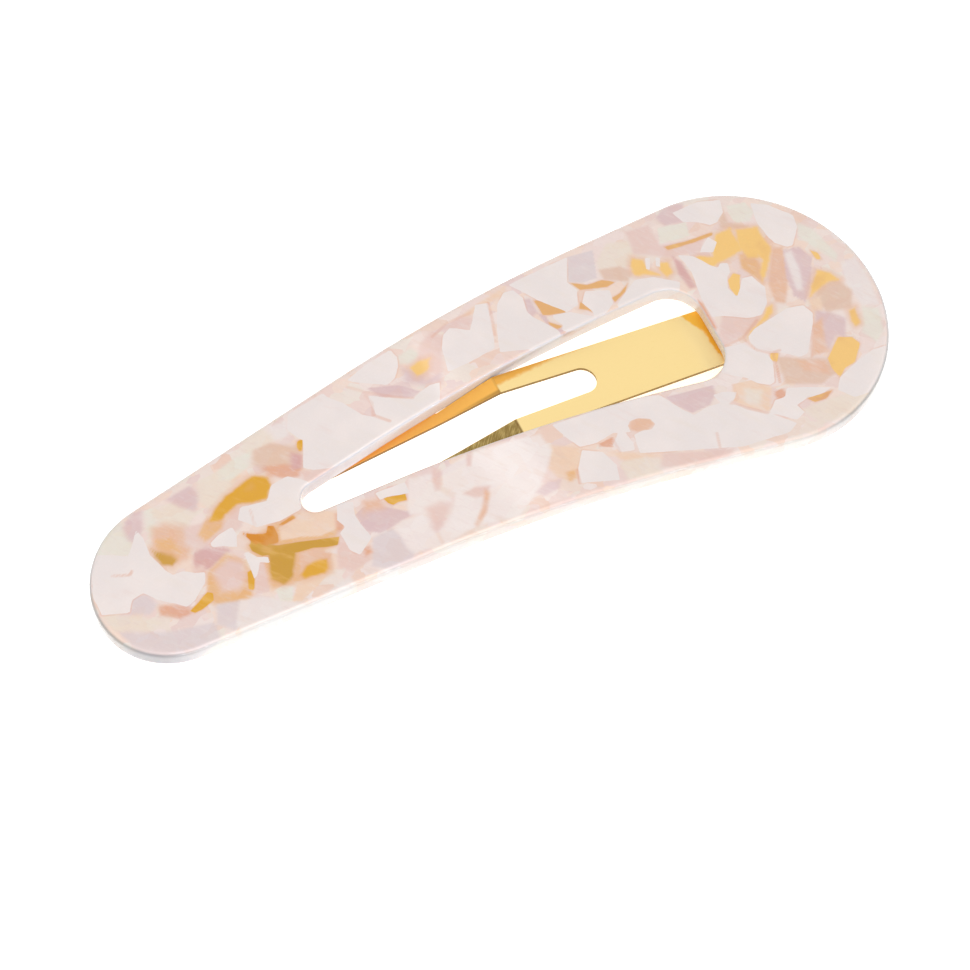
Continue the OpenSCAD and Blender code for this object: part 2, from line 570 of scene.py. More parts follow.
def edge_distance(places: Array, corners: Array, closed: bool = True) -> Array:
    """Distance to an outline.

    Args:
        places: Points, one a row.
        corners: The outline's corners, one a row.
        closed: Whether the outline is a filled shape.

    Returns:
        The distances, above zero inside a filled shape and below zero elsewhere.
    """
    distance = np.full(len(places), 1e9)
    inside = np.zeros(len(places), bool)
    count = len(corners)
    for i in range(count if closed else count - 1):
        start, end = corners[i], corners[(i + 1) % count]
        run = end - start
        share = np.clip(((places - start) @ run) / max(run @ run, 1e-12), 0.0, 1.0)
        distance = np.minimum(distance, np.hypot(*(places - start - share[:, None] * run).T))
        if closed and start[1] != end[1]:
            spans = (start[1] > places[:, 1]) != (end[1] > places[:, 1])
            cut = start[0] + (places[:, 1] - start[1]) / (end[1] - start[1]) * run[0]
            inside ^= spans & (places[:, 0] < cut)
    return np.where(inside, distance, -distance)


@dataclass(frozen=True)
class Chart:
    """Where the acetate's chips, clear windows, clouds and seams lie in the photograph.

    Corners are pixels, read one by one. A distance is cut off at far millimetres.
    """

    chips: tuple[str, ...]
    windows: tuple[Patch, ...]
    clouds: tuple[Patch, ...]
    seams: tuple[str, ...]
    far: float = 1.5

    def read(self, places: Array, lens: Lens, arch: Arch, level: float) -> dict[str, Array]:
        """Reads the chart at points of the plate.

        Args:
            places: Points in plan, one a row.
            lens: The photograph's view.
            arch: The plate's side view.
            level: The top face's level.

        Returns:
            Signed distances "chip" and "seam", "window" in widths of its edge, how much cloud is
            charted as "charted", and the colours "cloud" and "metal".
        """

        def traced(corners: str, closed: bool = True) -> tuple[Array, Array]:
            """Measures the points that an outline can touch.

            Args:
                corners: The outline in the photograph.
                closed: Whether it is a filled shape.

            Returns:
                Their numbers, and their distances to it.
            """
            outline = lens.on_plate(points_of(corners), arch, level)
            low, high = outline.min(0) - self.far, outline.max(0) + self.far
            some = np.nonzero(np.all((places >= low) & (places <= high), axis=1))[0]
            return some, edge_distance(places[some], outline, closed)

        count = len(places)
        chip, window, seam = (np.full(count, -self.far) for _ in range(3))
        charted = np.zeros(count)
        metal = np.tile(Tint.HONEY.paint[:3], (count, 1))
        cloud = np.tile(Tint.GROUND.paint[:3], (count, 1))
        for patch in self.clouds:
            some, distance = traced(patch.corners)
            share = np.clip(distance / patch.fade.value + 0.5, 0.0, 1.0)
            share = share * share * (3 - 2 * share)
            cloud[some] += share[:, None] * (np.array(patch.tint.paint[:3]) - cloud[some])
            charted[some] = np.maximum(charted[some], share)
        for corners in self.chips:
            some, distance = traced(corners)
            chip[some] = np.maximum(chip[some], distance)
        for patch in self.windows:
            some, distance = traced(patch.corners)
            distance = np.maximum(distance / patch.fade.value, -self.far)
            nearer = distance > window[some]
            window[some[nearer]] = distance[nearer]
            metal[some[nearer]] = patch.tint.paint[:3]
        for corners in self.seams:
            some, distance = traced(corners, closed=False)
            seam[some] = np.maximum(seam[some], distance)
        return {
            "chip": chip, "window": window, "seam": seam, "charted": charted, "cloud": cloud, "metal": metal
        }


CHART = Chart(
    chips=(
        "92,573 97,555 113,555 128,557 132,545 136,530 143,538 150,555 165,570 173,575 183,571 195,573 205,572 "
        "205,583 195,600 187,607 173,603 158,600 143,593 132,600 130,613 102,615 93,597",
        "210,544 218,535 232,527 237,535 237,547 222,546 213,547",
        "240,507 251,505 267,501 271,485 287,476 307,481 315,487 303,500 301,509 280,521 257,527 247,523 238,520",
        "244,553 248,552 257,557 268,557 270,563 260,562 258,573 255,580 250,567",
        "303,440 303,468 313,470 330,468 340,465 357,457 380,442 397,430 377,417 363,415 343,403 327,397 323,393 "
        "297,408 288,415 287,430 297,437",
        "367,395 380,397 413,399 420,392 430,385 440,382 440,403 422,415 397,430 377,417 374,410",
        "347,380 368,363 390,350 397,357 398,367 395,378 387,385 363,383 352,382",
        "475,305 488,303 490,320 493,333 495,348 470,362 448,372 442,348 443,335 450,328 470,330 473,317",
        "497,305 503,293 513,290 523,298 527,312 533,317 558,330 563,337 547,348 500,352 497,330",
        "508,285 567,257 567,282 577,290 578,305 567,312 537,300 523,292",
        "585,291 610,290 613,303 605,315 595,317 593,312 582,303",
        "553,315 570,312 597,317 598,320 567,332 562,330 563,325 553,318",
        "635,280 653,277 680,282 680,300 662,298 645,302 620,308 617,305 627,290",
        "645,258 650,258 650,270 646,269",
        "655,257 660,258 660,267 656,266",
        "677,255 693,256 710,265 718,268 720,263 728,263 730,272 727,277 728,288 737,297 740,288 742,278 752,276 "
        "758,282 765,287 767,303 762,315 748,318 724,316 712,317 702,300 697,287 692,273 685,263",
        "748,337 755,328 773,317 787,308 803,305 813,313 813,323 810,340 808,353 800,357 780,352 770,353 757,350 "
        "750,342",
        "723,348 743,343 750,348 768,355 773,362 775,382 770,385 757,383 747,378 730,375 722,373",
        "702,247 708,237 717,242 713,252 700,252",
        "672,213 697,202 720,200 723,212 717,222 710,225 697,222 683,222",
        "750,203 768,205 793,215 797,227 793,245 787,247 775,243 768,237 757,223",
        "840,377 855,363 872,350 887,345 887,363 878,382 870,392 855,397 838,390",
        "787,388 805,387 832,387 823,393 807,398 797,405 805,412 797,420 770,412 775,400 785,397",
        "713,395 723,392 737,392 733,402 723,405",
        "337,503 353,502 355,515 360,523 372,537 367,545 360,555 350,550 340,533 345,527 337,520",
        "375,493 405,482 410,493 387,497 380,500",
        "582,450 603,452 617,465 620,480 580,483 578,470",
        "618,433 625,432 633,442 635,450 620,452 613,445",
        "552,425 600,409 640,397 660,395 680,408 694,415 707,407 723,402 737,405 767,412 797,423 790,432 745,446 "
        "720,448 663,452 640,453 634,435 642,431 652,429 655,424 650,419 638,418 630,421 628,426 631,432 613,433 "
        "597,443 580,447 567,438",
    ),
    windows=(
        Patch(Tint.AMBER, "210,521 214,510 224,497 237,487 253,475 268,477 271,485 267,499 251,503 238,504 229,512 "
              "219,521"),
        Patch(Tint.OLIVE, "150,549 160,552 172,555 178,560 173,566 163,565 155,557"),
        Patch(Tint.AMBER, "190,611 198,603 207,592 213,593 214,600 203,609 195,613", Fade.CRISP),
        Patch(Tint.COPPER, "242,533 253,534 266,534 268,525 274,526 278,535 279,543 268,545 254,544", Fade.CRISP),
        Patch(Tint.OLIVE, "248,543 278,545 297,542 330,538 339,537 338,545 327,547 313,548 299,552 "
              "280,553 262,556 252,551", Fade.CRISP),
        Patch(Tint.OLIVE, "268,552 282,551 296,551 295,560 294,576 284,585 272,579 269,562"),
        Patch(Tint.AMBER, "300,575 306,566 317,561 327,559 328,568 325,573 305,579"),
        Patch(Tint.AMBER, "247,572 252,570 255,580 254,590 249,589", Fade.CRISP),
        Patch(Tint.COPPER, "278,525 293,515 295,518 282,526", Fade.CRISP),
        Patch(Tint.AMBER, "297,441 303,439 302,452 299,451 297,447", Fade.CRISP),
        Patch(Tint.AMBER, "388,424 392,422 396,424 397,429 393,431 389,429", Fade.CRISP),
        Patch(Tint.HONEY, "410,368 420,360 430,358 428,370 417,377"),
        Patch(Tint.AMBER, "383,498 405,492 407,500 398,502 393,505 388,503", Fade.CRISP),
        Patch(Tint.APRICOT, "533,300 547,302 568,312 550,315 543,315 540,310", Fade.CRISP),
        Patch(Tint.APRICOT, "548,322 562,326 560,328 557,329 550,325", Fade.CRISP),
        Patch(Tint.APRICOT, "580,302 587,305 595,313 587,310 579,309", Fade.CRISP),
        Patch(Tint.APRICOT, "570,283 587,285 602,280 615,282 607,287 580,290", Fade.CRISP),
        Patch(Tint.SALMON, "563,333 580,330 597,322 580,333 567,337", Fade.CRISP),
        Patch(Tint.APRICOT, "612,298 620,293 628,283 625,292 615,302", Fade.CRISP),
        Patch(Tint.HONEY, "632,258 643,260 648,270 660,275 635,275 630,267"),
        Patch(Tint.HONEY, "660,263 668,262 672,272 667,277 660,270"),
        Patch(Tint.HONEY, "715,235 730,228 733,235 743,250 730,257 720,262 713,267 695,258 700,256 713,257"),
        Patch(Tint.HONEY, "743,228 757,227 763,237 772,247 770,260 765,277 762,282 760,270 762,260 753,250 747,240"),
        Patch(Tint.HONEY, "736,230 748,227 757,244 760,258 748,258 739,247"),
        Patch(Tint.APRICOT, "664,247 690,240 712,232 713,235 692,243 668,250", Fade.CRISP),
        Patch(Tint.HONEY, "284,556 290,556 291,574 286,581"),
        Patch(Tint.HONEY, "728,280 733,273 740,275 740,290 737,297 730,288", Fade.CRISP),
        Patch(Tint.HONEY, "767,307 772,305 773,313 763,323 755,330 747,338 753,328 763,317"),
        Patch(Tint.HONEY, "817,270 830,273 840,280 827,282 818,290 810,297 812,283"),
        Patch(Tint.HONEY, "810,250 818,253 822,260 816,259", Fade.CRISP),
        Patch(Tint.HONEY, "848,310 855,307 860,323 855,326 851,318"),
        Patch(Tint.HONEY, "832,350 838,337 852,337 860,343 855,362 845,368 840,378 832,368 828,358", Fade.CRISP),
        Patch(Tint.APRICOT, "807,398 818,395 832,390 827,398 815,402", Fade.CRISP),
        Patch(Tint.HONEY, "770,352 779,353 777,362 771,360", Fade.CRISP),
    ),
    clouds=(
        Patch(Tint.MINT, "95,560 102,535 120,521 134,530 132,556 112,558"),
        Patch(Tint.MAUVE, "122,528 130,514 143,510 143,530 136,543 128,540"),
        Patch(Tint.MINT, "143,512 152,507 158,532 148,540", Fade.CRISP),
        Patch(Tint.CREAM, "150,508 185,500 197,512 187,525 158,524", Fade.CRISP),
        Patch(Tint.MAUVE, "165,500 190,485 200,495 196,512 180,507"),
        Patch(Tint.CREAM, "196,482 228,466 238,478 226,498 208,510 198,500", Fade.CRISP),
        Patch(Tint.PALE_PEACH, "226,472 238,466 242,476 232,484"),
        Patch(Tint.PEACH, "150,528 165,523 188,527 197,541 188,560 165,562 153,548", Fade.CLOUDY),
        Patch(Tint.APRICOT, "154,540 170,538 182,552 178,562 160,560"),
        Patch(Tint.ROSE, "183,528 205,522 228,520 240,526 232,536 214,545 196,552 186,545"),
        Patch(Tint.APRICOT, "198,535 206,518 224,516 222,528 206,542"),
        Patch(Tint.ROSE, "228,512 240,504 246,515 240,530 228,530"),
        Patch(Tint.PLUM, "193,553 205,547 222,547 231,550 220,561 210,569 198,573 193,564"),
        Patch(Tint.ROSE, "192,568 204,565 206,575 194,577"),
        Patch(Tint.APRICOT, "207,573 226,553 246,560 254,577 252,602 225,612 206,600"),
        Patch(Tint.ROSE, "212,572 228,558 244,562 248,575 240,590 222,592", Fade.CLOUDY),
        Patch(Tint.LILAC, "130,596 148,594 158,605 150,615 132,614"),
        Patch(Tint.SALMON, "158,606 172,604 190,607 192,614 180,619 160,616"),
        Patch(Tint.LILAC, "216,604 242,600 252,614 236,630 217,625"),
        Patch(Tint.CREAM, "101,614 140,616 164,622 150,632 113,632"),
        Patch(Tint.LILAC, "118,632 165,632 215,622 222,640 205,662 150,664"),
        Patch(Tint.PEARL, "240,600 262,596 310,604 330,590 350,575 360,590 300,625 250,640 236,625"),
        Patch(Tint.APRICOT, "274,522 300,511 342,512 345,536 338,546 312,556 330,552 334,572 305,582 272,590 "
              "258,562 246,548 262,530", Fade.CLOUDY),
        Patch(Tint.PALE_PEACH, "279,527 295,518 302,512 336,512 339,528 320,536 300,537 281,540", Fade.CRISP),
        Patch(Tint.SALMON, "335,513 345,516 344,537 337,536"),
        Patch(Tint.PEACH, "299,553 318,548 332,554 329,562 314,566 300,574", Fade.CRISP),
        Patch(Tint.ROSE, "255,560 264,559 268,578 270,592 256,594", Fade.CRISP),
        Patch(Tint.MINT, "275,590 284,585 293,587 293,601 280,601", Fade.CRISP),
        Patch(Tint.PALE_PEACH, "293,601 297,583 308,578 327,569 326,577 317,587 302,601", Fade.CRISP),
        Patch(Tint.CREAM, "240,437 262,428 276,438 266,456 246,456"),
        Patch(Tint.PEARL, "268,427 286,420 290,436 274,441"),
        Patch(Tint.SAND, "253,450 270,443 300,445 304,466 298,474 262,472 252,464"),
        Patch(Tint.SALMON, "262,467 285,464 302,468 300,477 285,479 268,476"),
        Patch(Tint.PLUM, "290,452 303,455 303,468 292,470"),
        Patch(Tint.MINT, "218,470 235,457 250,452 250,466 232,480 219,480"),
        Patch(Tint.ROSE, "300,471 322,468 344,464 338,480 303,482"),
        Patch(Tint.PALE_PEACH, "365,420 377,418 395,422 397,432 385,437 366,438", Fade.CRISP),
        Patch(Tint.MINT, "396,357 410,348 420,353 413,364 399,364"),
        Patch(Tint.MAUVE, "400,366 422,372 440,355 443,384 424,386 405,384", Fade.CLOUDY),
        Patch(Tint.ROSE, "418,346 432,330 443,338 441,372 425,382 418,366"),
        Patch(Tint.MAUVE, "366,388 400,385 420,391 413,398 380,397", Fade.CRISP),
        Patch(Tint.MAUVE, "355,515 363,507 387,507 417,513 403,520 393,527 380,533 366,531", Fade.CRISP),
        Patch(Tint.PEACH, "362,500 380,498 386,508 364,512", Fade.CLOUDY),
        Patch(Tint.ROSE, "336,535 346,527 352,552 368,548 372,560 352,572 338,568"),
        Patch(Tint.LILAC, "372,538 392,528 412,545 414,556 395,570 372,566"),
        Patch(Tint.SALMON, "362,547 370,545 373,552 366,556"),
        Patch(Tint.LILAC, "567,257 593,250 597,278 582,283 568,282", Fade.CRISP),
        Patch(Tint.CREAM, "596,262 606,243 632,240 632,262 622,272 600,276"),
        Patch(Tint.SAND, "598,270 620,266 634,272 628,282 604,280"),
        Patch(Tint.MAUVE, "522,300 530,298 538,312 532,318 526,312"),
        Patch(Tint.MAUVE, "536,312 546,316 552,326 564,330 562,336 548,326", Fade.CRISP),
        Patch(Tint.PALE_PEACH, "455,320 480,302 505,286 506,294 492,302 470,316"),
        Patch(Tint.ROSE, "440,330 460,316 473,318 470,330 450,329"),
        Patch(Tint.PEACH, "628,425 631,420 640,417 651,419 655,424 649,430 638,432 630,430"),
        Patch(Tint.SALMON, "598,444 613,437 613,447 603,447", Fade.CRISP),
        Patch(Tint.PALE_PEACH, "612,452 645,452 660,456 640,462 620,460"),
        Patch(Tint.PALE_PEACH, "551,445 580,447 582,465 574,482 558,478 548,468"),
        Patch(Tint.APRICOT, "566,472 575,470 577,478 569,482"),
        Patch(Tint.ROSE, "535,492 547,480 563,478 560,487 543,495"),
        Patch(Tint.CREAM, "619,462 645,457 668,460 658,474 628,480"),
        Patch(Tint.ROSE, "663,453 700,451 735,448 730,456 680,466 660,468"),
        Patch(Tint.MAUVE, "655,218 664,206 683,203 684,222 664,226"),
        Patch(Tint.MINT, "657,228 686,222 690,236 660,244", Fade.CRISP),
        Patch(Tint.ROSE, "625,232 648,225 660,245 705,238 701,251 672,258 634,254"),
        Patch(Tint.MINT, "726,206 745,202 754,212 750,221 736,223 729,215", Fade.CRISP),
        Patch(Tint.SAND, "723,208 728,222 750,226 744,230 720,228 718,220"),
        Patch(Tint.MINT, "796,222 812,228 838,254 836,262 812,246 798,236"),
        Patch(Tint.MINT, "862,306 879,308 884,330 877,342 862,332"),
        Patch(Tint.PEARL, "840,262 856,257 872,285 880,305 862,305 846,285"),
        Patch(Tint.CREAM, "800,410 828,399 862,388 874,392 850,416 822,424"),
        Patch(Tint.PEACH, "772,248 783,246 789,275 786,304 775,302 768,284"),
        Patch(Tint.PALE_PEACH, "736,228 744,228 752,250 762,262 758,276 744,262", Fade.CRISP),
        Patch(Tint.APRICOT, "738,254 752,252 762,268 764,284 752,276 741,268"),
        Patch(Tint.MAUVE, "783,250 799,246 812,257 811,283 806,302 794,296 786,276", Fade.CRISP),
        Patch(Tint.SAND, "818,284 836,278 852,290 852,308 826,312 815,300"),
        Patch(Tint.PALE_PEACH, "808,300 820,296 824,312 814,316"),
        Patch(Tint.MAUVE, "815,310 830,312 846,318 846,338 836,336 830,350 816,346"),
        Patch(Tint.PEACH, "812,325 822,318 826,345 830,352 812,356"),
        Patch(Tint.SAND, "776,356 800,358 832,357 838,372 822,384 785,384"),
        Patch(Tint.PEACH, "796,360 826,360 830,374 804,370"),
        Patch(Tint.CREAM, "763,222 772,219 780,233 770,240"),
        Patch(Tint.MAUVE, "665,397 713,385 716,395 710,405 692,413 675,405", Fade.CRISP),
        Patch(Tint.PLUM, "672,256 682,262 697,287 690,289 678,274"),
        Patch(Tint.PALE_PEACH, "733,384 752,380 772,388 770,412 747,407 731,400", Fade.CRISP),
        Patch(Tint.CREAM, "744,388 762,390 760,404 746,402"),
        Patch(Tint.SALMON, "774,392 783,388 788,395 777,401", Fade.CRISP),
        Patch(Tint.ROSE, "722,314 748,318 760,314 758,325 746,334 725,346 718,338"),
        Patch(Tint.SALMON, "697,298 703,304 717,328 712,330", Fade.CRISP),
        Patch(Tint.WHITE, "408,478 435,473 440,490 453,500 452,508 443,520 432,527 423,515 410,515 407,507 408,495"),
        Patch(Tint.WHITE, "417,515 422,512 432,527 437,533 442,545 433,548 410,555 400,533 393,527 403,520"),
        Patch(Tint.WHITE, "442,470 465,455 520,438 540,434 552,450 547,470 538,490 520,517 475,527 445,545 438,532 "
              "452,510 455,493 442,487"),
        Patch(Tint.ROSE, "432,466 441,469 441,490 435,491 432,480"),
        Patch(Tint.ROSE, "426,508 440,502 452,503 449,515 442,526 436,530 430,520", Fade.CLOUDY),
        Patch(Tint.ROSE, "463,494 475,487 490,486 488,494 476,498"),
        Patch(Tint.PEACH, "485,489 490,493 487,512 478,527 475,524 482,508"),
        Patch(Tint.ROSE, "466,452 473,450 471,466 467,466"),
        Patch(Tint.MAUVE, "536,492 548,482 560,480 560,488 545,496"),
        Patch(Tint.LILAC, "380,540 400,545 414,552 414,560 385,568"),
        Patch(Tint.PEARL, "784,254 791,250 800,270 803,290 797,290 790,272"),
    ),
    seams=(
        "112,576 130,575 132,571", "250,510 255,525", "347,387 365,392 395,397 413,398",
        "365,395 372,403 373,415 390,421", "432,337 447,323 470,313", "488,303 492,317 495,335",
        "723,347 743,338 757,320", "745,340 757,350 772,353 780,350",
        "773,353 777,367 780,382", "812,337 812,357", "702,307 715,328", "717,433 720,447",
        "700,303 708,316 716,330", "732,402 747,408 768,413", "808,398 822,399 832,391",
        "733,385 738,398 731,404", "600,446 612,438 620,452", "577,470 580,483",
    ),
)


@dataclass(frozen=True)
class Zone:
    """A stretch about a middle, with the distances at which it is sure and gone, in millimetres."""

    middle: float
    sure: float
    gone: float

    def share(self, along: Wire) -> Wire:
        """How much of the zone is at a place along an axis, read in metres."""
        return abs(along - self.middle * MM).step(self.gone * MM, self.sure * MM)


@dataclass(frozen=True)
class Acetate:
    """Polished marbled acetate: opaque chips in a clouded clear ground, with gold behind the clear places."""

    name: str = "marbled_acetate"
    chip_warp: float = 0.14
    chip_edge: float = 0.03
    seam_half: float = 0.07
    ragged_cells: float = 1100.0
    wide_cells: float = 260.0
    grain_cells: float = 5200.0
    shard_cells: float = 520.0
    streak_cells: tuple[float, float, float] = (220.0, 900.0, 500.0)
    streak_turn: float = 0.9
    hairline_cells: tuple[float, float, float] = (300.0, 9000.0, 900.0)
    slot_x: Zone = Zone(2.0, 27.0, 30.0)
    slot_y: Zone = Zone(0.0, 6.4, 7.2)
    ends_x: Zone = Zone(-2.8, 34.0, 29.0)
    ior: float = 1.48

    def make(self) -> bpy.types.Material:
        """Builds the material.

        Returns:
            The material.
        """
        bench = Bench(self.name)
        place = bench.place()
        facing = bench.facing()
        upright = abs(facing).step(0.95, 0.5)
        ragged = bench.noise(place, self.ragged_cells, 3.0, 0.6)
        wide = bench.noise(place, self.wide_cells)
        streak = bench.noise(self._slanted(bench, place), 1.0, 3.0, 0.6)
        chip = bench.stored("chip") + ragged * self.chip_warp
        solid = chip.step(-self.chip_edge, self.chip_edge)
        rim = chip.step(-0.2, -0.02) * wide.step(0.0, 0.14) * (1.0 - upright) * 0.35
        window = bench.stored("window") + streak * 1.1 + ragged * 0.5
        shown = window.step(-0.5, 0.5)
        metal = bench.layers(
            bench.stored("metal", "Color"),
            (streak.step(0.0, 0.22) * 0.5, Tint.HONEY),
            ((wide + ragged * 0.15).step(0.04, 0.2) * 0.4, Tint.APRICOT),
        )
        white = bench.layers(
            bench.mix((wide * 2.2).step(-0.3, 0.5), Tint.PEARL, Tint.WHITE),
            (streak.step(0.0, 0.3) * 0.3, Tint.CREAM),
            (streak.step(-0.05, -0.3) * 0.25, Tint.ROSE),
        )
        line = bench.stored("seam").step(-self.seam_half * 3.4, -self.seam_half * 0.6)
        marbled = bench.layers(
            self._clouds(bench, place, streak),
            (window.step(-1.6, -0.2) * 0.45, Tint.PEACH),
            (shown, metal),
            (rim, Tint.SALMON),
            (solid, white),
            (line * (0.36 + wide * 1.3), Tint.SALMON),
        )
        colour = self._with_walls(bench, marbled, place, upright)
        hairlines = bench.noise(bench.stretched(place, self.hairline_cells), 1.0)
        grain = bench.noise(place, self.grain_cells)
        return bench.finish(
            Base_Color=colour,
            Metallic=shown * (1.0 - solid) * 0.3,
            Roughness=0.36 + ragged * 0.1 - shown * 0.02,
            Normal=bench.bump(wide + ragged * 0.2, 0.05, 0.0002),
            Coat_Weight=1.0 - hairlines.step(0.1, 0.25) * 0.5 - grain.step(0.02, 0.16) * 0.4,
            # A faint glow on the walls and under side: painted light standing in for light that comes through the
            # acetate.
            Emission_Color=bench.mix(facing.step(0.5, -0.5), (0.0, 0.0, 0.0, 1.0), colour),
            Emission_Strength=0.2,
            Coat_Roughness=0.06,
            Coat_IOR=self.ior,
            IOR=self.ior,
            Subsurface_Weight=0.15,
            Subsurface_Radius=(1.0, 0.8, 0.7),
            Subsurface_Scale=0.0005,
        )

    def _slanted(self, bench: Bench, place: Wire) -> Wire:
        """The point turned and stretched, so that noise on it runs in slanted streaks."""
        return bench.stretched(bench.turned(place, self.streak_turn), self.streak_cells)

    def _with_walls(self, bench: Bench, marbled: Wire, place: Wire, upright: Wire) -> Wire:
        """Paints shade on the plate's walls: darker outside, darker still at both ends, and pale in the slot.

        Args:
            bench: The material's tree.
            marbled: The colour of the plate's faces.
            place: The point on the plate.
            upright: How much the surface stands upright.

        Returns:
            The colour.
        """
        x, y, _ = bench.axes(place)
        in_slot = self.slot_x.share(x) * self.slot_y.share(y)
        # Painted shade on the outer walls, heavier at both ends.
        shade = bench.mix(self.ends_x.share(x), Tint.SIDE_PAINTED_SHADE, Tint.END_PAINTED_SHADE)
        side = bench.mix(in_slot, bench.mix(1.0, marbled, shade, "MULTIPLY"), Tint.SLOT_WALL)
        return bench.mix(upright * (1.0 - in_slot * 0.35), marbled, side)

    def _clouds(self, bench: Bench, place: Wire, streak: Wire) -> Wire:
        """Tints of the clear ground: the charted ones, and small shards between them.

        Args:
            bench: The material's tree.
            place: The point on the plate.
            streak: Slanted noise.

        Returns:
            The colour.
        """
        shards = bench.node(
            "ShaderNodeTexVoronoi",
            {"distance": "MANHATTAN"},
            {"Vector": bench.stretched(place, (1.0, 1.6, 1.3)), "Scale": self.shard_cells},
            "Color",
        )
        stops = [
            (0.0, Tint.MAUVE.value), (0.22, Tint.PALE_PEACH.value), (0.42, Tint.PEARL.value),
            (0.62, Tint.ROSE.value), (0.8, Tint.MINT.value), (1.0, Tint.PEACH.value),
        ]
        ramp = bench.node("ShaderNodeValToRGB", {"stops": stops}, {"Fac": bench.axes(shards)[0]})
        fine = bench.noise(self._slanted(bench, place), 4.5, 3.0, 0.6)
        return bench.layers(
            bench.stored("cloud", "Color"),
            (0.5 - bench.stored("charted") * 0.36, ramp),
            (fine.step(0.0, 0.3) * 0.3, Tint.PEARL),
            (fine.step(0.0, -0.3) * 0.22, Tint.MAUVE),
            (streak.step(0.02, 0.25) * 0.4, Tint.PEARL),
            (streak.step(-0.05, -0.25) * 0.25, Tint.SAND),
        )


@dataclass(frozen=True)
class GoldPlate:
    """Bright gold plating on spring steel, with rolling lines along the strip."""

    name: str = "gold_plate"
    rough: float = 0.17
    drawn_cells: float = 9000.0
    broad_cells: float = 130.0

    def make(self) -> bpy.types.Material:
        """Builds the material.

        Returns:
            The material.
        """
        bench = Bench(self.name)
        place = bench.place()
        drawn = bench.noise(bench.stretched(place, (0.05, 1.0, 1.0)), self.drawn_cells, 3.0, 0.6)
        broad = bench.noise(place, self.broad_cells)
        return bench.finish(
            Base_Color=bench.layers(
                Gilt.BRIGHT, (broad.step(0.12, -0.12), Gilt.DEEP), (drawn.step(0.1, 0.25) * 0.25, Gilt.DRAWN)
            ),
            Metallic=1.0,
            Roughness=self.rough + drawn * 0.08 + broad * 0.05,
            Normal=bench.bump(drawn, 0.06, 0.0001),
        )


@dataclass(frozen=True)
class StripGold(GoldPlate):
    """The tongue's plating: pale on the paddle; where the legs turn away, amber painted reflection on the far leg
    and olive painted shade over scratches on the near one.
    """

    name: str = "gold_plate_strip"
    rough: float = 0.32
    broad_cells: float = 160.0
    fine_cells: float = 1500.0
    cross_cells: float = 8000.0
    cross_turn: float = 0.7
    crease_x: float = 0.0
    axis_y: float = 0.0

    def make(self) -> bpy.types.Material:
        """Builds the material.

        Returns:
            The material.
        """
        bench = Bench(self.name)
        place = bench.place()
        x, y, _ = bench.axes(place)
        x, y = x / MM - self.crease_x, y / MM - self.axis_y
        drawn = bench.noise(bench.stretched(place, (0.06, 1.0, 1.0)), self.drawn_cells, 3.0, 0.6)
        turned = bench.turned(place, self.cross_turn)
        cross = bench.noise(bench.stretched(turned, (1.0, 0.1, 0.3)), self.cross_cells, 3.0, 0.65)
        broad = bench.noise(place, self.broad_cells, 3.0)
        fine = bench.noise(place, self.fine_cells, 3.0, 0.6)
        legs = x.step(0.06, -0.06)
        far_leg = y.step(-0.4, 0.4)
        # The legs' colours are painted: amber reflection on the far leg, olive shade over real scratches on the near
        # leg.
        amber = bench.mix((x + broad * 6.0).step(-14.0, -2.0), Gilt.LEG_ROOT_REFLECTION, Gilt.LEG_REFLECTION)
        scored = (cross * 1.1 + fine * 0.5 + broad * 0.6).step(-0.2, 0.28)
        leg_reflection_and_shade = bench.mix(far_leg, bench.mix(scored, Gilt.SCORED_DEEP_SHADE, Gilt.SCORED_SHADE), amber)
        # Painted reflection of the plate's orange underside on the far leg, fading onto the paddle.
        painted_underside_reflection = (x * -0.1 + (y - 2.35) + fine * 0.5 + broad * 0.5).step(-0.2, 0.25) * far_leg
        reach = x + (y * 0.5).step(0.2, 1.6) * 1.1 - (y * -0.5).step(0.0, 1.6) * 0.4
        # Painted light: the paddle's end under the plate is made less metallic and lighter, against the plate's
        # shade.
        matte_painted_light_end = x.step(18.0, 20.5)
        # Painted shadow and reflection of the slot's end: a deep amber crescent at the paddle's tip.
        end = (reach + fine * 0.6 + broad * 0.5).step(20.62, 20.92)
        # Painted shade in the crease.
        crease_shade = abs(x + 0.05).step(0.2, 0.04) * (1.0 - far_leg * 0.7)
        # Painted shade along the far leg's inner edge, left of the crease.
        inner_edge_shade = legs * far_leg * (y - x * 0.02).step(2.05, 1.75) * x.step(-7.0, 0.0)
        # Painted shade on the sheet's side faces.
        edge = abs(bench.facing()).step(0.75, 0.45)
        pits = fine.step(0.12, 0.2) * abs(x + 0.35).step(0.7, 0.1) * (1.0 - far_leg)
        colour = bench.layers(
            Gilt.BRIGHT,
            (painted_underside_reflection, Gilt.UNDERSIDE_REFLECTION),
            (drawn.step(0.05, 0.3) * 0.12, Gilt.PADDLE_LINE),
            (legs, leg_reflection_and_shade),
            (matte_painted_light_end * 0.8, Gilt.PADDLE_END_PAINTED_LIGHT),
            (end * 0.92, Gilt.END_SHADOW_AND_REFLECTION),
            (crease_shade * 0.6, Gilt.CREASE_SHADE),
            (inner_edge_shade * 0.6, Gilt.INNER_EDGE_SHADE),
            (edge * 0.85, Gilt.EDGE_SHADE),
            (pits * 0.8, Gilt.PIT),
        )
        return bench.finish(
            Base_Color=colour,
            Metallic=0.98 - (legs * 0.4 + legs * far_leg * 0.2).highest(matte_painted_light_end * 0.8),
            Roughness=self.rough + (legs * 0.12).highest(edge * 0.25) + drawn * 0.06,
            Normal=bench.bump(drawn * 0.5 + cross * legs * 0.6, 0.08, 0.0001),
        )


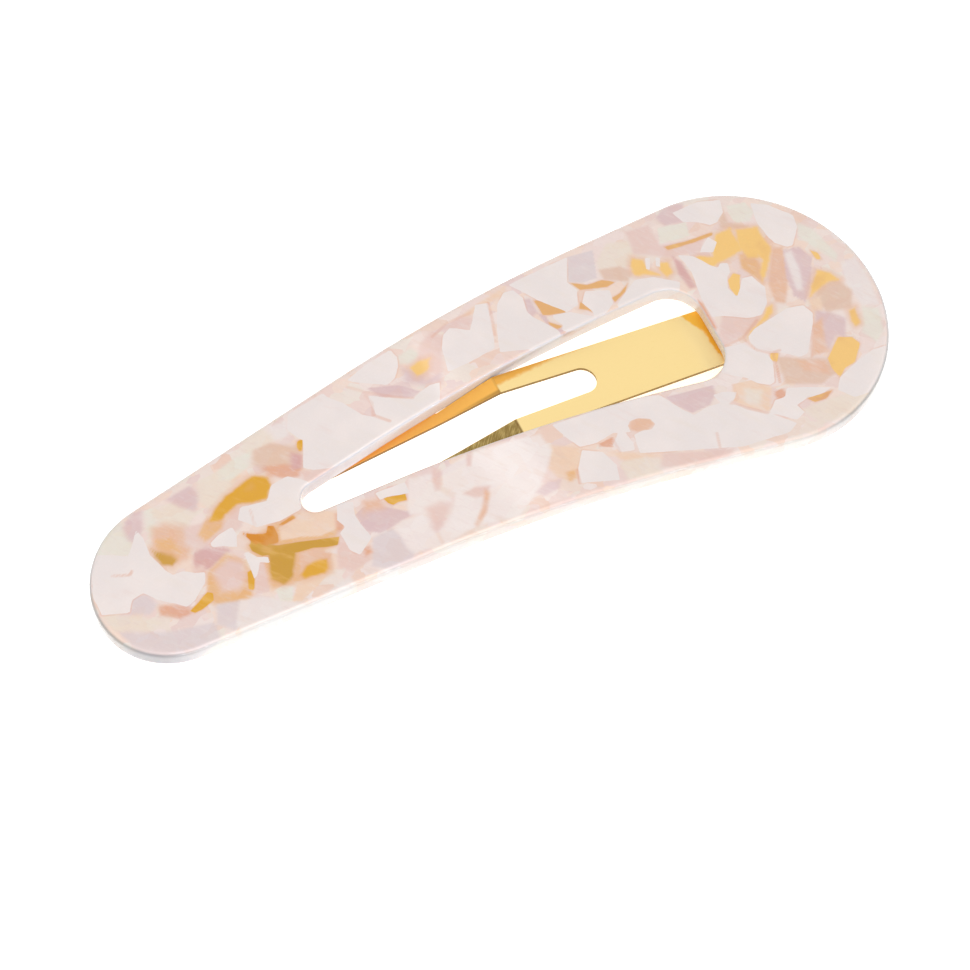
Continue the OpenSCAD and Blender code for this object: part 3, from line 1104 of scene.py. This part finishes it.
@dataclass(frozen=True)
class FloorWhite:
    """Matt white sheet under the clip, with a glow of its own."""

    name: str = "floor_sheet"
    shades: tuple[Colour, Colour] = ((250, 250, 250), (254, 254, 254))
    glow: float = 0.56

    def make(self) -> bpy.types.Material:
        """Builds the material.

        Returns:
            The material.
        """
        bench = Bench(self.name)
        grain = bench.noise(bench.place(), 60, 4.0)
        low, high = ((*linear(shade), 1.0) for shade in self.shades)
        return bench.finish(
            Base_Color=bench.mix(grain.step(-0.3, 0.3), low, high),
            Roughness=0.95,
            Specular_IOR_Level=0.1,
            Emission_Color=(1.0, 1.0, 1.0, 1.0),
            Emission_Strength=self.glow,
        )


def link_mesh(name: str, mesh: bpy.types.Mesh, material: bpy.types.Material) -> bpy.types.Object:
    """Puts a mesh in the scene.

    Args:
        name: The piece's name.
        mesh: Its mesh.
        material: Its finish.

    Returns:
        The object.
    """
    mesh.materials.append(material)
    piece = bpy.data.objects.new(name, mesh)
    bpy.context.scene.collection.objects.link(piece)
    return piece


@dataclass(frozen=True)
class Loop:
    """A closed convex outline round discs, read at even steps from its +X point."""

    discs: tuple[Disc, ...]
    shift_y: float = 0.0
    arc_steps: int = 400

    def _dense(self) -> tuple[Array, Array]:
        """Walks the outline closely, counter-clockwise.

        Returns:
            Its points and their outward normals.
        """
        points: list[tuple[float, float]] = []
        normals: list[tuple[float, float]] = []
        count = len(self.discs)

        def lean(a: Sequence[float], b: Sequence[float]) -> float:
            """Angle of the common tangent's normal from one disc to the next."""
            run = math.hypot(b[0] - a[0], b[1] - a[1])
            return math.atan2(b[1] - a[1], b[0] - a[0]) - math.acos((a[2] - b[2]) / run)

        for i, disc in enumerate(self.discs):
            start = lean(self.discs[i - 1], disc)
            end = lean(disc, self.discs[(i + 1) % count])
            end += 2 * math.pi * math.ceil((start - end) / (2 * math.pi))
            for angle in np.linspace(start, end, self.arc_steps):
                normals.append((math.cos(angle), math.sin(angle)))
                points.append((disc[0] + disc[2] * normals[-1][0], disc[1] + disc[2] * normals[-1][1]))
        return np.array(points), np.array(normals)

    def read(self, count: int) -> tuple[Array, Array]:
        """Even steps round the outline.

        Args:
            count: How many.

        Returns:
            The points and their outward normals.
        """
        points, normals = self._dense()
        ring = np.vstack([points, points[:1]])
        run = np.concatenate([[0.0], np.cumsum(np.hypot(*np.diff(ring, axis=0).T))])
        ring_n = np.vstack([normals, normals[:1]])
        dense = np.linspace(0.0, run[-1], 8 * count, endpoint=False)
        walk = np.column_stack([np.interp(dense, run, ring[:, k]) for k in (0, 1)])
        right = walk[:, 0] > 0
        first = np.nonzero(right & (walk[:, 1] <= 0) & (np.roll(walk[:, 1], -1) > 0))[0][0]
        steps = (dense[first] + np.arange(count) * run[-1] / count) % run[-1]
        place = np.column_stack([np.interp(steps, run, ring[:, k]) for k in (0, 1)])
        normal = np.column_stack([np.interp(steps, run, ring_n[:, k]) for k in (0, 1)])
        normal /= np.hypot(*normal.T)[:, None]
        return place + [0.0, self.shift_y], normal


@dataclass
class CoverPlate:
    """The marbled plate: a rounded teardrop ring, arched along its length."""

    arch: Arch
    lens: Lens
    chart: Chart
    wide: Disc = (26.2, 0.0, 13.79)
    narrow: Disc = (-32.2, 0.0, 7.79)
    slot_narrow: Disc = (-17.55, 0.0, 1.45)
    slot_corner: Disc = (19.9, 1.95, 3.2)
    axis_shift: float = 0.35
    outer_rounds: tuple[float, float] = (0.45, 0.3)
    slot_rounds: tuple[float, float] = (0.3, 0.04)
    steps: int = 760
    top_rows: int = 72
    low_rows: int = 20
    round_rows: tuple[int, int] = (6, 5)
    wall_rows: int = 3
    chart_slant: tuple[float, float] = (0.45, -0.6)

    def _wall(self, rounds: tuple[float, float]) -> list[tuple[float, float]]:
        """Distance inside the outline and level of each row, from the top edge to the low edge.

        Args:
            rounds: Radii of the top and the low edge.

        Returns:
            The rows.
        """
        above, below = rounds
        rows: list[tuple[float, float]] = []
        for turn in np.linspace(0.0, math.pi / 2, self.round_rows[0]):
            rows.append((above * (1 - math.sin(turn)), self.arch.cover_t - above * (1 - math.cos(turn))))
        top = self.arch.cover_t - above
        rows += [(0.0, height) for height in np.linspace(top, below, self.wall_rows + 2)[1:-1]]
        for turn in np.linspace(0.0, math.pi / 2, self.round_rows[1]):
            rows.append((below * (1 - math.cos(turn)), below * (1 - math.sin(turn))))
        return rows

    def _rows(self) -> tuple[Array, Array]:
        """Works out the rows of the ring, once round its section.

        Returns:
            The rows in plan, and their levels.
        """
        x, y, r = self.slot_corner
        outer, outer_n = Loop((self.narrow, self.wide)).read(self.steps)
        inner, inner_n = Loop((self.slot_narrow, (x, -y, r), (x, y, r)), self.axis_shift).read(self.steps)
        (out_above, out_below), (in_above, in_below) = self.outer_rounds, self.slot_rounds
        plan: list[Array] = []
        level: list[float] = []
        top_in, top_out = inner + in_above * inner_n, outer - out_above * outer_n
        for share in np.linspace(0.0, 1.0, self.top_rows + 1)[1:-1]:
            plan.append(top_in + share * (top_out - top_in))
            level.append(self.arch.cover_t)
        for inset, height in self._wall(self.outer_rounds):
            plan.append(outer - inset * outer_n)
            level.append(height)
        low_in, low_out = inner + in_below * inner_n, outer - out_below * outer_n
        for share in np.linspace(1.0, 0.0, self.low_rows + 1)[1:-1]:
            plan.append(low_in + share * (low_out - low_in))
            level.append(0.0)
        for inset, height in reversed(self._wall(self.slot_rounds)):
            plan.append(inner + inset * inner_n)
            level.append(height)
        return np.array(plan), np.array(level)

    def build(self) -> bpy.types.Object:
        """Builds the plate and paints its chart on it.

        Returns:
            The piece.
        """
        plan, level = self._rows()
        rows, steps = plan.shape[:2]
        flat = plan.reshape(-1, 2)
        levels = np.repeat(level, steps)
        z = self.arch.height(flat[:, 0], levels)
        points = np.column_stack([flat, z]) * MM
        row, step = np.meshgrid(np.arange(rows), np.arange(steps), indexing="ij")
        here, there = row * steps, (row + 1) % rows * steps
        after = (step + 1) % steps
        faces = np.stack([here + step, there + step, there + after, here + after], -1).reshape(-1, 4)
        mesh = bpy.data.meshes.new("plate")
        mesh.from_pydata(points.tolist(), [], faces.tolist())
        mesh.polygons.foreach_set("use_smooth", np.ones(len(faces), bool))
        self._paint(mesh, flat, levels)
        mesh.update()
        piece = link_mesh("plate", mesh, Acetate().make())
        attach(piece, Body.CLIP.value)
        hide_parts("cover")
        return piece

    def _paint(self, mesh: bpy.types.Mesh, flat: Array, levels: Array) -> None:
        """Stores the chart on the mesh.

        Args:
            mesh: The plate's mesh.
            flat: Its points in plan.
            levels: Their levels; the chart slants as it goes down.
        """
        depth = (self.arch.cover_t - levels)[:, None]
        places = flat + depth * np.array(self.chart_slant)
        drawn = self.chart.read(places, self.lens, self.arch, self.arch.cover_t)
        for name, values in drawn.items():
            if values.ndim == 1:
                layer = mesh.attributes.new(name, "FLOAT", "POINT")
                layer.data.foreach_set("value", values.astype(np.float32))
            else:
                layer = mesh.attributes.new(name, "FLOAT_COLOR", "POINT")
                full = np.column_stack([values, np.ones(len(values))])
                layer.data.foreach_set("color", full.astype(np.float32).ravel())


@dataclass
class TongueStrip:
    """The inner spring strip: two legs, a crease and the paddle, bent from one sheet.

    Widths are half widths at the stations, and each end of the fork's slot is a place with a radius.
    """

    arch: Arch
    steel_t: float = 0.4
    start_x: float = -26.18
    knee_x: float = -4.0
    crease_x: float = 2.0
    end_x: float = 28.1
    root_z: float = 2.2708
    knee_gap: float = 0.06
    crease_z: float = 6.897
    tip_gap: float = 0.55
    widths: tuple[float, float, float, float] = (3.3, 2.739, 3.333, 3.0)
    shoulder: float = 0.38
    shoulder_run: tuple[float, float] = (8.0, 0.5)
    neck_spare: float = 0.045
    neck_run: tuple[float, float] = (0.05, 2.0)
    corner_r: float = 1.8
    fork_root: tuple[float, float] = (-22.13, 2.15)
    fork_paddle: tuple[float, float] = (9.65, 1.35)
    axis_shift: float = 0.35
    rows: int = 5
    cuts: int = 90
    corner_cuts: int = 12
    first_cut: float = 0.3
    least_cut: float = 0.02
    blend_l: float = 3.0
    blend_z: tuple[float, float] = (2.1, 2.6)
    edge_round: float = 0.06
    edge_turn: float = 55.0
    smooth_turn: float = 18.0

    @property
    def stations(self) -> Array:
        """Places along the strip where it bends, with both ends."""
        return np.array([self.start_x, self.knee_x, self.crease_x, self.end_x])

    @property
    def shoulder_stations(self) -> Array:
        """Places where the extra half width of the legs changes, from the root to the crease.

        Returns:
            The places along the strip.
        """
        (after_root, before_knee), (neck_start, before_crease) = self.shoulder_run, self.neck_run
        knee, crease = self.knee_x, self.crease_x
        return np.array(
            [self.start_x + after_root, knee - before_knee, knee - neck_start, crease - before_crease, crease]
        )

    def _heights(self) -> Array:
        """Works out the upper face's heights at the stations.

        Returns:
            The heights.
        """
        wide = self.arch.slopes[1]
        tip = self.arch.height(np.array([self.end_x]), 0.0)[0] - self.tip_gap / math.cos(wide)
        knee = self.arch.height(np.array([self.knee_x]), 0.0)[0] - self.knee_gap
        return np.array([self.root_z, knee, self.crease_z, tip])

    def _cuts(self) -> Array:
        """Works out where the strip is cut, close together at round corners.

        Returns:
            The places along it.
        """
        turn = np.linspace(0.0, math.pi / 2, self.corner_cuts)
        (root_x, root_r), (paddle_x, paddle_r) = self.fork_root, self.fork_paddle
        parts = [
            self.stations,
            np.linspace(self.start_x + self.first_cut, self.end_x - self.corner_r, self.cuts),
            root_x - root_r * np.cos(turn),
            paddle_x + paddle_r * np.cos(turn),
            self.end_x - self.corner_r + self.corner_r * np.sin(turn),
        ]
        xs = np.unique(np.round(np.concatenate(parts), 4))
        keep = [xs[0]]
        fixed = {round(x, 4) for x in (*self.stations[1:], root_x - root_r, paddle_x + paddle_r)}
        for x in xs[1:]:
            if x - keep[-1] > self.least_cut or x in fixed:
                keep.append(x)
        return np.array(keep)

    def _outer(self, x: float) -> float:
        """Half width of the strip.

        Args:
            x: The place along it.

        Returns:
            The half width.
        """
        half = float(np.interp(x, self.stations, self.widths))
        spare = [0.0, self.shoulder, self.neck_spare, self.neck_spare, 0.0]
        half += float(np.interp(x, self.shoulder_stations, spare))
        past = x - (self.end_x - self.corner_r)
        if past > 0:
            half += math.sqrt(max(self.corner_r**2 - past**2, 0.0)) - self.corner_r
        return half

    def _inner(self, x: float) -> float:
        """Half width of the fork's slot.

        Args:
            x: The place along the strip.

        Returns:
            The half width, 0 past the slot's ends.
        """
        (a, ra), (b, rb) = self.fork_root, self.fork_paddle
        lean = math.asin((ra - rb) / (b - a))
        if x <= a - ra or x >= b + rb:
            return 0.0
        if x < a + ra * math.sin(lean):
            return math.sqrt(max(ra**2 - (x - a) ** 2, 0.0))
        if x > b + rb * math.sin(lean):
            return math.sqrt(max(rb**2 - (x - b) ** 2, 0.0))
        return (ra - (x - a) * math.sin(lean)) / math.cos(lean)

    def build(self) -> bpy.types.Object:
        """Builds the strip.

        Returns:
            The piece.
        """
        at, top = self.stations, self._heights()
        shape = bmesh.new()
        for side in (-1, 1):
            grid = []
            for x in self._cuts():
                inner, outer = self._inner(x), self._outer(x)
                z = float(np.interp(x, at, top))
                line = np.linspace(inner, outer, self.rows + 1) * side + self.axis_shift
                grid.append([shape.verts.new(Vector((x, y, z)) * MM) for y in line])
            for a, b in zip(grid, grid[1:]):
                for j in range(self.rows):
                    ring = (a[j], b[j], b[j + 1], a[j + 1])
                    shape.faces.new(ring if side > 0 else ring[::-1])
        bmesh.ops.remove_doubles(shape, verts=shape.verts, dist=1e-7)
        self._thicken(shape, at, top)
        mesh = bpy.data.meshes.new("strip")
        shape.to_mesh(mesh)
        shape.free()
        gold = StripGold(crease_x=self.crease_x, axis_y=self.axis_shift).make()
        piece = link_mesh("tongue_strip", mesh, gold)
        self._round_edges(piece)
        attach(piece, Body.TONGUE.value)
        piece.parent = None
        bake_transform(piece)
        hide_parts("tongue")
        return piece

    def _thicken(self, shape: bmesh.types.BMesh, at: Array, top: Array) -> None:
        """Gives the upper face its lower face and side walls.

        Args:
            shape: The upper face, changed in place.
            at: Stations of the side view.
            top: Heights of the upper face at them.
        """
        drops = self.steel_t / np.cos(np.arctan2(np.diff(top), np.diff(at)))
        low = top - np.append(drops, drops[-1])
        upper = list(shape.verts)
        faces = list(shape.faces)
        rim = [edge for edge in shape.edges if len(edge.link_faces) == 1]
        under = {}
        for vert in upper:
            x = vert.co.x / MM
            drop = float(np.interp(x, at, top) - np.interp(x, at, low))
            under[vert] = shape.verts.new(vert.co - Vector((0.0, 0.0, drop * MM)))
        for face in faces:
            shape.faces.new([under[v] for v in reversed(face.verts)])
        for edge in rim:
            loop = edge.link_loops[0]
            a, b = loop.vert, loop.link_loop_next.vert
            shape.faces.new((b, a, under[a], under[b]))
        bmesh.ops.recalc_face_normals(shape, faces=shape.faces)

    def _round_edges(self, piece: bpy.types.Object) -> None:
        """Rounds the sheet's edges for good and shades them.

        Args:
            piece: The strip.
        """
        bevel = piece.modifiers.new("edges", "BEVEL")
        bevel.width = self.edge_round * MM
        bevel.segments = 2
        bevel.limit_method = "ANGLE"
        bevel.angle_limit = math.radians(self.edge_turn)
        graph = bpy.context.evaluated_depsgraph_get()
        made = bpy.data.meshes.new_from_object(piece.evaluated_get(graph))
        piece.modifiers.clear()
        piece.data = made
        made.polygons.foreach_set("use_smooth", np.ones(len(made.polygons), bool))
        made.set_sharp_from_angle(angle=math.radians(self.smooth_turn))


@dataclass
class SteelClip:
    """The frame and its rivet, as the source makes them."""

    nodes: Mapping[str, bpy.types.Object]
    solids: tuple[str, ...] = ("frame", "rivet")

    def dress(self) -> list[bpy.types.Object]:
        """Plates the solids.

        Returns:
            The pieces.
        """
        gold = GoldPlate().make()
        pieces = [self.nodes[name] for name in self.solids]
        for piece in pieces:
            for spot in piece.material_slots:
                spot.material = gold
            if not piece.material_slots:
                piece.data.materials.append(gold)
        return pieces


@dataclass(frozen=True)
class Lamp:
    """A large soft light: its direction from the clip, its distance and size in metres, and its power."""

    name: str
    way: Sequence[float]
    away: float
    size: tuple[float, float]
    watts: float

    def hang(self, target: Sequence[float] = (0.0, 0.0, 0.0)) -> None:
        """Makes the light, turned to the clip.

        Args:
            target: The point that it faces, in metres.
        """
        data = bpy.data.lights.new(self.name, "AREA")
        data.shape = "RECTANGLE"
        data.size, data.size_y = self.size
        data.energy = self.watts
        light = bpy.data.objects.new(self.name, data)
        bpy.context.scene.collection.objects.link(light)
        back = Vector(self.way).normalized()
        light.location = Vector(target) + back * self.away
        light.rotation_euler = back.to_track_quat("Z", "Y").to_euler()


@dataclass
class Studio:
    """White paper and large soft lights."""

    arch: Arch
    lens: Lens
    floor_half: float = 1.2
    sky: float = 0.8
    lamps: tuple[Lamp, ...] = (
        Lamp("key", (0.50, 0.41, 0.76), 0.75, (0.8, 0.8), 0.45),
        Lamp("front", (-0.25, -0.5, 0.83), 0.8, (0.6, 0.4), 2.05),
        Lamp("side", (-0.85, -0.2, 0.5), 0.8, (0.5, 0.5), 0.2),
        Lamp("low", (-0.15, -1.0, 0.055), 0.7, (0.8, 0.05), 2.4),
    )
    glare_px: tuple[float, float] = (515.0, 468.0)
    glare_away: float = 0.9
    glare_size: tuple[float, float] = (0.15, 0.045)
    glare_watts: float = 0.045
    slope_reach: float = 0.05

    def build(self) -> None:
        """Makes the floor, the sky and the lights."""
        bpy.context.scene.view_settings.view_transform = "Standard"
        mesh = bpy.data.meshes.new("floor")
        h = self.floor_half
        mesh.from_pydata([(-h, -h, 0), (h, -h, 0), (h, h, 0), (-h, h, 0)], [], [(0, 1, 2, 3)])
        floor = link_mesh("floor", mesh, FloorWhite().make())
        world = bpy.data.worlds.new("studio")
        world.use_nodes = True
        shade = world.node_tree.nodes["Background"]
        shade.inputs["Color"].default_value = (1.0, 1.0, 1.0, 1.0)
        shade.inputs["Strength"].default_value = self.sky
        bpy.context.scene.world = world
        for lamp in self.lamps:
            lamp.hang()
        self._hang_glare()

    def _hang_glare(self) -> None:
        """Hangs a narrow light where the polished near bar mirrors it to the camera."""
        level = self.arch.cover_t
        spot = self.lens.on_plate(np.array([self.glare_px]), self.arch, level)[0]
        around = np.array([spot[0] - self.slope_reach, spot[0] + self.slope_reach])
        rise = np.diff(self.arch.height(around, level))[0] / (2 * self.slope_reach)
        normal = Vector((-rise, 0.0, 1.0)).normalized()
        point = Vector((*spot, self.arch.height(spot[:1], level)[0]))
        back = (Vector(self.lens.back) * self.lens.distance - point).normalized()
        way = 2 * normal.dot(back) * normal - back
        Lamp("glare", way, self.glare_away, self.glare_size, self.glare_watts).hang(point * MM)


def count_faces(piece: bpy.types.Object) -> int:
    """Triangles of a piece, modifiers included."""
    shown = piece.evaluated_get(bpy.context.evaluated_depsgraph_get())
    return sum(len(face.vertices) - 2 for face in shown.data.polygons)


def main() -> None:
    """Builds the clip's pieces in order, then the studio."""
    logging.basicConfig(level=logging.INFO, format="%(name)s: %(message)s")
    arch, lens = Arch(), Lens()
    lens.stand()
    plate = CoverPlate(arch, lens, CHART).build()
    strip = TongueStrip(arch).build()
    steel = SteelClip(frame["nodes"]).dress()
    for piece in (plate, strip, *steel):
        LOG.info("%s: %d triangles", piece.name, count_faces(piece))
    Studio(arch, lens).build()


if __name__ == "__main__":
    main()
